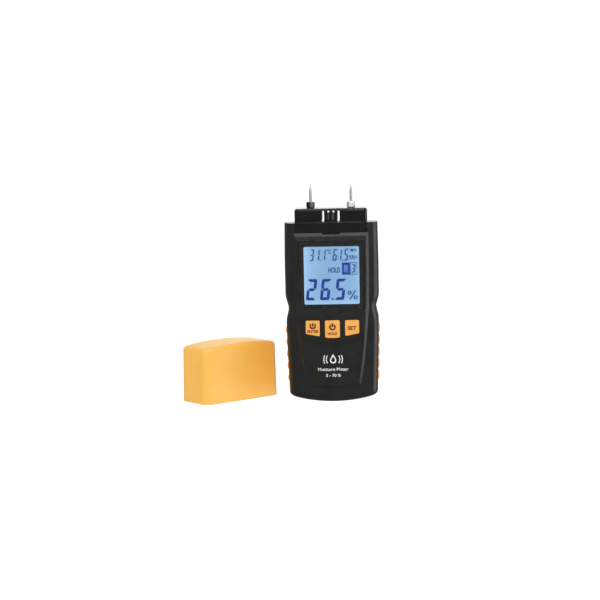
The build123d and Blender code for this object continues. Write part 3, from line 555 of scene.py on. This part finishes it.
enter_y = ink_y("button_enter")
key_x = -14.5
tray = [(-2.3, 59.0), (-2.3, 56.2), (-1.4, 55.1), (1.4, 55.1), (2.3, 56.2), (2.3, 59.0),
        (1.3, 59.0), (1.3, 56.8), (0.9, 56.3), (-0.9, 56.3), (-1.3, 56.8), (-1.3, 59.0)]
arrow = [(-0.5, 59.4), (-0.5, 58.2), (-1.0, 58.2), (0.0, 56.7), (1.0, 58.2), (0.5, 58.2), (0.5, 59.4)]
enter = [[(key_x + u, v) for u, v in outline] for outline in (tray, arrow)]
plate("enter_symbol", enter, enter_y, 0.04, legend_look, "enter_key")
words("enter_word", "ENTER", -14.4, enter_y, 53.2, 2.1, 8.2, legend_look, "enter_key", 0.03, 0.03)

set_y = ink_y("button_set")
words("set_word", "SET", 14.4, set_y, 55.4, 2.8, 6.6, legend_look, "set_key", 0.03, 0.03)

# The lower panel lies 1.2 mm behind the display plateau, which is the case's foremost face
PANEL_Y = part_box("front_case")[0].y / MM + 1.2
emblem = [drop(0.0, 32.4, 4.6, 6.6, 24), drop(0.0, 32.1, 3.0, 4.3, 24)]
for start in (-35, 145):
    emblem += ring(0.0, 32.0, 5.3, 4.7, start, start + 70, 14)
    emblem += ring(0.0, 32.0, 7.2, 6.6, start + 8, start + 62, 14)
plate("drop_emblem", emblem, PANEL_Y - 0.02, 0.05, white_ink_look)
words("front_words", "Moisture Meter", 0.0, PANEL_Y - 0.01, 24.6, 2.4, 22.4, white_ink_look, bold=0.012)
words("front_range", "2 - 70 %", 0.0, PANEL_Y - 0.01, 20.0, 2.2, 11.0, white_ink_look, bold=0.018)


# ---------------------------------------------------------------- rear print

label_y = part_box("rear_label")[1].y / MM + 0.01
for name, text, z, height, width, bold in (
        ("rear_title", "MOISTURE METER", 104.6, 2.6, 30.0, 0.005),
        ("rear_range", "WOOD  2-70 %", 99.6, 1.8, 20.0, 0.0),
        ("rear_climate", "AIR  0-100 %RH   -10-50 C", 95.6, 1.8, 33.0, 0.0),
        ("rear_supply", "3 x 1.5 V  AAA", 91.6, 1.8, 20.0, 0.0)):
    words(name, text, 0.0, label_y, z, height, width, grey_ink_look, bold=bold, front=False)
rules = [rounded(-19, 19, 101.9, 102.1, 0.08, 2), rounded(-19, 19, 88.6, 88.8, 0.08, 2)]
plate("rear_rules", rules, label_y, 0.04, grey_ink_look, front=False)


# ---------------------------------------------------------------- battery cells

def lathe(name, profile, centre, look, body="meter", steps=48):
    """Turned piece about a vertical axis from (radius, height) points in mm."""
    mesh = bpy.data.meshes.new(name)
    build = bmesh.new()
    rings = []
    for radius, height in profile:
        if radius == 0.0:
            rings.append([build.verts.new((centre[0] * MM, centre[1] * MM, height * MM))])
            continue
        round_points = []
        for i in range(steps):
            angle = 2 * math.pi * i / steps
            x = centre[0] + radius * math.cos(angle)
            y = centre[1] + radius * math.sin(angle)
            round_points.append(build.verts.new((x * MM, y * MM, height * MM)))
        rings.append(round_points)
    for a, b in zip(rings, rings[1:]):
        for i in range(steps):
            j = (i + 1) % steps
            corners = [a[i % len(a)], a[j % len(a)], b[j % len(b)], b[i % len(b)]]
            unique = list(dict.fromkeys(corners))
            if len(unique) > 2:
                build.faces.new(unique)
    bmesh.ops.recalc_face_normals(build, faces=build.faces[:])
    for face in build.faces:
        face.smooth = True
    build.to_mesh(mesh)
    build.free()
    mesh.set_sharp_from_angle(angle=math.radians(35))
    obj = bpy.data.objects.new(name, mesh)
    scene.collection.objects.link(obj)
    return finish_piece(obj, look, body)


cells_low, cells_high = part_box("battery_cells")
cell_y = (cells_low.y + cells_high.y) / 2 / MM
CELL_R = (cells_high.y - cells_low.y) / 2 / MM - 0.02
pitch = (cells_high.x - cells_low.x) / 2 / MM - CELL_R
bottom, top = cells_low.z / MM, cells_high.z / MM
CELL_TALL = 44.5

# Turned pieces of one cell: look, then radius and height above its flat end, in mm
CELL_PIECES = (
    ("cell_sleeve", cell_look, (
        (0.0, 0.25), (4.2, 0.25), (4.9, 0.1), (CELL_R, 0.5), (CELL_R, 30.98), (0.0, 30.98))),
    ("cell_band", cell_band_look, (
        (0.0, 31.0), (CELL_R - 0.01, 31.02), (CELL_R - 0.01, 42.9), (CELL_R - 0.35, 43.35), (4.4, 43.3),
        (4.1, 43.0), (0.0, 43.0))),
    ("cell_ends", nickel_look, (
        (0.0, 43.15), (1.9, 43.15), (1.9, 44.1), (1.6, 44.45), (0.0, 44.5))),
    ("cell_base", nickel_look, (
        (0.0, 0.0), (3.4, 0.0), (3.8, 0.1), (4.2, 0.2), (0.0, 0.24))),
    ("cell_shoulder", white_look, (
        (0.0, 43.02), (4.08, 43.02), (4.08, 43.1), (3.2, 43.07), (1.9, 43.14), (0.0, 43.14))),
)
for number, (column, up) in enumerate(((-1, 1), (0, -1), (1, 1))):
    foot = (top - CELL_TALL) if up > 0 else (bottom + CELL_TALL)
    for name, look, profile in CELL_PIECES:
        points = [(radius, foot + up * height) for radius, height in profile]
        piece = lathe(f"{name}_{number}", points, (column * pitch, cell_y), look)
        if (name, number) == ("cell_sleeve", 0):
            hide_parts("battery_cells")


# ---------------------------------------------------------------- stage, lights and camera

def stage_floor():
    """Pale floor that lights itself evenly, so that it runs into the background as on a white sweep."""
    mesh = bpy.data.meshes.new("stage_floor")
    size = 6.0
    corners = [(-size, -size, 0), (size, -size, 0), (size, size, 0), (-size, size, 0)]
    mesh.from_pydata(corners, [], [(0, 1, 2, 3)])
    obj = bpy.data.objects.new("stage_floor", mesh)
    scene.collection.objects.link(obj)
    look = Shader("stage_paper", Roughness=0.9, Specular_IOR_Level=0.1)
    look.vary((0.24, 0.24, 0.24), (0.26, 0.26, 0.26), 2.0)
    look.bsdf.inputs["Emission Color"].default_value = (1, 1, 1, 1)
    look.bsdf.inputs["Emission Strength"].default_value = 0.98
    mesh.materials.append(look.material)
    obj.visible_glossy = False
    obj.visible_shadow = False


stage_floor()


def softbox(name, place, target, size, power):
    """Rectangular lamp at a place, turned to a target: metres and watts."""
    light = bpy.data.lights.new(name, "AREA")
    light.shape = "RECTANGLE"
    light.size, light.size_y = size
    light.energy = power
    obj = bpy.data.objects.new(name, light)
    obj.location = place
    obj.rotation_euler = (Vector(target) - Vector(place)).to_track_quat("-Z", "Y").to_euler()
    scene.collection.objects.link(obj)


softbox("top_softbox", (0.0, -0.25, 1.5), (0.0, 0.0, 0.05), (1.4, 0.9), 16.0)
softbox("left_softbox", (-1.35, -1.0, 0.9), (-0.03, 0.0, 0.06), (0.7, 1.0), 6.5)
softbox("front_softbox", (0.42, -1.9, 0.8), (-0.03, 0.0, 0.06), (0.9, 0.8), 15.0)
softbox("right_softbox", (1.1, -0.05, 0.02), (0.0, 0.0, 0.05), (0.8, 0.8), 3.7)
softbox("back_softbox", (-0.1, 1.6, 0.35), (-0.05, 0.0, 0.05), (1.8, 0.6), 4.8)

# White background for the camera, with a dimmer even light for the object
world = bpy.data.worlds.new("studio")
scene.world = world
world.use_nodes = True
tree = world.node_tree
tree.nodes.clear()
out = tree.nodes.new("ShaderNodeOutputWorld")
mixer = tree.nodes.new("ShaderNodeMixShader")
rays = tree.nodes.new("ShaderNodeLightPath")
fill = tree.nodes.new("ShaderNodeBackground")
seen = tree.nodes.new("ShaderNodeBackground")
fill.inputs[0].default_value = (1.0, 1.0, 1.0, 1.0)
fill.inputs[1].default_value = 0.30
seen.inputs[0].default_value = (1.0, 1.0, 1.0, 1.0)
seen.inputs[1].default_value = 1.05
tree.links.new(rays.outputs["Is Camera Ray"], mixer.inputs[0])
tree.links.new(fill.outputs[0], mixer.inputs[1])
tree.links.new(seen.outputs[0], mixer.inputs[2])
tree.links.new(mixer.outputs[0], out.inputs[0])

# The camera stands 1.39 m away and a little above, looking slightly down, with a slight roll
CAMERA_PLACE = Vector((0.0339, -1.3888, 0.2415))
HEADING = math.radians(2.4)
PITCH = math.radians(6.86)
ROLL = math.radians(1.2)
LENS_MM = 112.6
level = math.cos(PITCH)
forward = Vector((-math.sin(HEADING) * level, math.cos(HEADING) * level, -math.sin(PITCH)))
right = Vector((math.cos(HEADING), math.sin(HEADING), 0.0))
up = right.cross(forward)
rolled_up = up * math.cos(ROLL) + right * math.sin(ROLL)
rolled_right = right * math.cos(ROLL) - up * math.sin(ROLL)
lens = bpy.data.cameras.new("photo_camera")
lens.lens = LENS_MM
lens.sensor_width = 36.0
lens.clip_start = 0.05
camera = bpy.data.objects.new("photo_camera", lens)
camera.matrix_world = Matrix.Translation(CAMERA_PLACE) @ Matrix(
    (rolled_right, rolled_up, -forward)).transposed().to_4x4()
scene.collection.objects.link(camera)
scene.camera = camera

bpy.context.view_layer.update()
